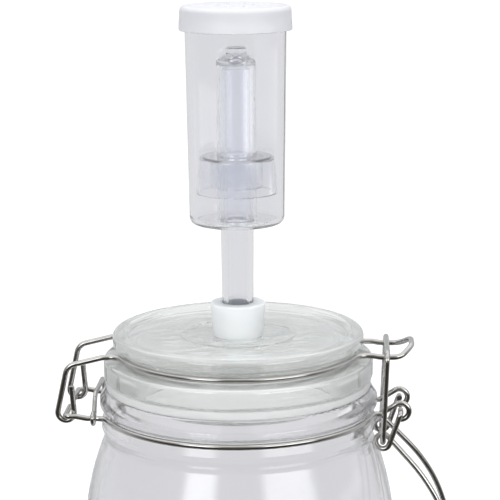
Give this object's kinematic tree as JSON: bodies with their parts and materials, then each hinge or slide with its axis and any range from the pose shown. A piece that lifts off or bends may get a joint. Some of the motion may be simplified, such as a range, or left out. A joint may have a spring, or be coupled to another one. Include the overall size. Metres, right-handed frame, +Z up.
{
  "type": "fermentation jar with airlock",
  "caption": "Clip-top glass jar with a wire bail latch and a sealed glass lid, and a stopper in it that carries a tall clear airlock with a float and a push-on cap.",
  "frame": {"origin": "on the jar's axis, in the plane of the foot it stands on", "axes": "+Z up along the jar's axis, +X from the axis to the latch, -X to the hinge"},
  "size_m": [0.1449, 0.114, 0.3192],
  "materials": {
    "jar_glass": "clear pressed glass",
    "lid_glass": "clear pressed glass, greenish at the edges",
    "gasket_silicone": "satin, translucent white",
    "stopper_silicone": "satin, translucent white",
    "airlock_plastic": "clear moulded",
    "float_plastic": "clear moulded",
    "cap_plastic": "translucent white, moulded",
    "steel_wire": "bright drawn wire"
  },
  "bodies": {
    "jar": {"jar_body": "jar_glass", "neck_wire_front": "steel_wire", "neck_wire_rear": "steel_wire", "hinge_tie_wire": "steel_wire"},
    "lid": {"glass_lid": "lid_glass", "lid_gasket": "gasket_silicone", "lid_wire": "steel_wire"},
    "stopper": {"stopper": "stopper_silicone"},
    "airlock": {"airlock_body": "airlock_plastic"},
    "airlock_float": {"airlock_float": "float_plastic"},
    "airlock_cap": {"airlock_cap": "cap_plastic"},
    "latch_lever": {"latch_lever": "steel_wire"},
    "latch_link": {"latch_link": "steel_wire"}
  },
  "joints": [
    {"name": "lid_hinge", "type": "hinge", "parent": "jar", "child": "lid", "pos_m": [-0.0611, 0, 0.1747], "axis": [0, -1, 0], "range_deg": [0, 110]},
    {"name": "latch_lever_turn", "type": "hinge", "parent": "jar", "child": "latch_lever", "pos_m": [0.0586, 0, 0.1751], "axis": [0, -1, 0], "range_deg": [0, 118]},
    {"name": "latch_link_turn", "type": "hinge", "parent": "latch_lever", "child": "latch_link", "pos_m": [0.05225, 0, 0.16435], "axis": [0, -1, 0], "range_deg": [-128, 0], "deforming": ["latch_link"]},
    {"name": "stopper_lift", "type": "slide", "parent": "lid", "child": "stopper", "axis": [0, 0, 1], "range_m": [0, 0.04]},
    {"name": "airlock_lift", "type": "slide", "parent": "stopper", "child": "airlock", "axis": [0, 0, 1], "range_m": [0, 0.06]},
    {"name": "float_lift", "type": "slide", "parent": "airlock", "child": "airlock_float", "axis": [0, 0, 1], "range_m": [0, 0.009]},
    {"name": "cap_lift", "type": "slide", "parent": "airlock", "child": "airlock_cap", "axis": [0, 0, 1], "range_m": [0, 0.03]}
  ],
  "couplings": [
    {"joint": "latch_lever_turn", "follows": "lid_hinge", "ratio": 1.0636},
    {"joint": "latch_link_turn", "follows": "lid_hinge", "ratio": -1.1545}
  ]
}
